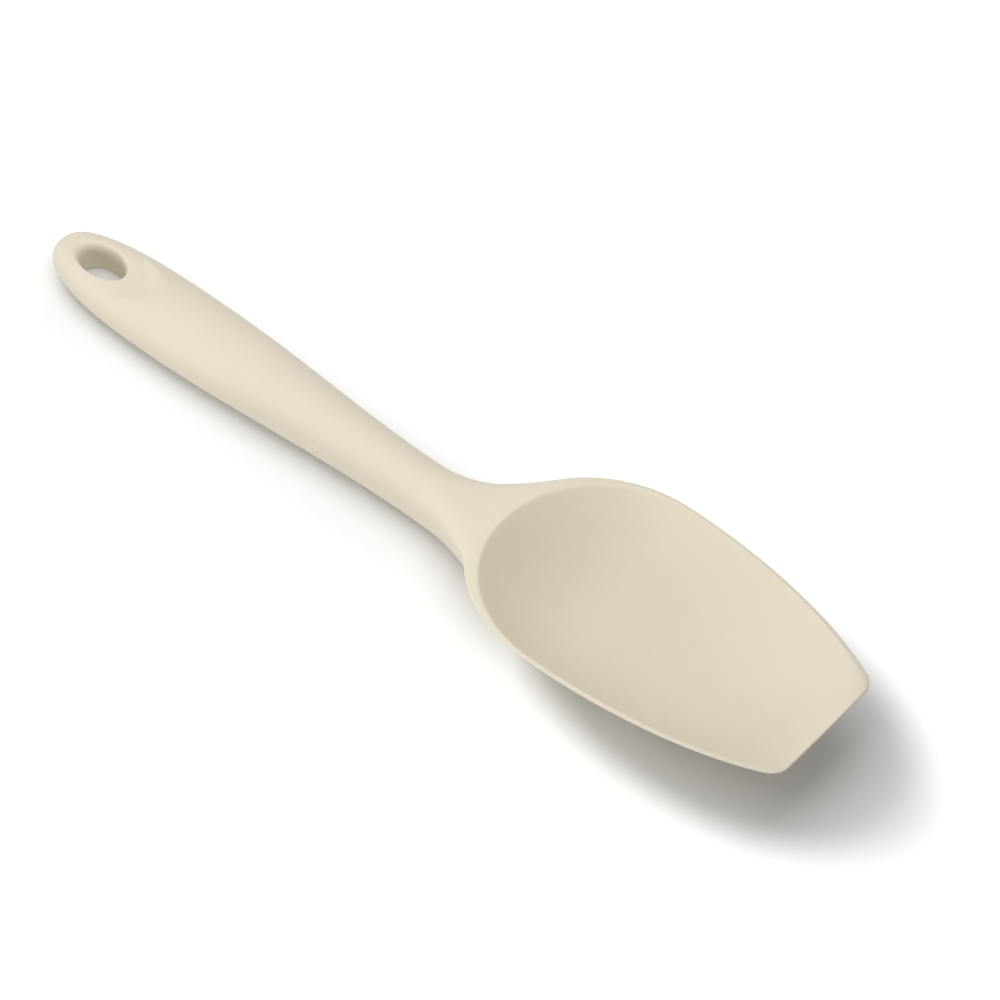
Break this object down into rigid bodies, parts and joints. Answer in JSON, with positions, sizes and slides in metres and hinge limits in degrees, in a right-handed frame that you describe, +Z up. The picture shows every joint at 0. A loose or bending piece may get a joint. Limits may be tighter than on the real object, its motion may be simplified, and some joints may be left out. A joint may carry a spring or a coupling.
{
  "type": "silicone spoon",
  "caption": "Silicone serving and scraping spoon: soft one-piece skin over a stiff core, deep bowl with a straight flexible tip edge, tapered handle with an oval hanging hole.",
  "frame": {"origin": "middle of the bounding box at its bottom, on the surface that the spoon lies on", "axes": "+X from the handle's butt to the bowl's tip, +Y across the bowl, +Z up, out of the bowl"},
  "size_m": [0.265, 0.0636, 0.0244],
  "materials": {
    "silicone": "cream silicone with a fine matte mould texture and a soft sheen",
    "nylon": "natural white glass-filled nylon, matte; its peg ends show in the underside"
  },
  "bodies": {
    "root": {"silicone_skin": "silicone", "nylon_core": "nylon"}
  },
  "joints": []
}
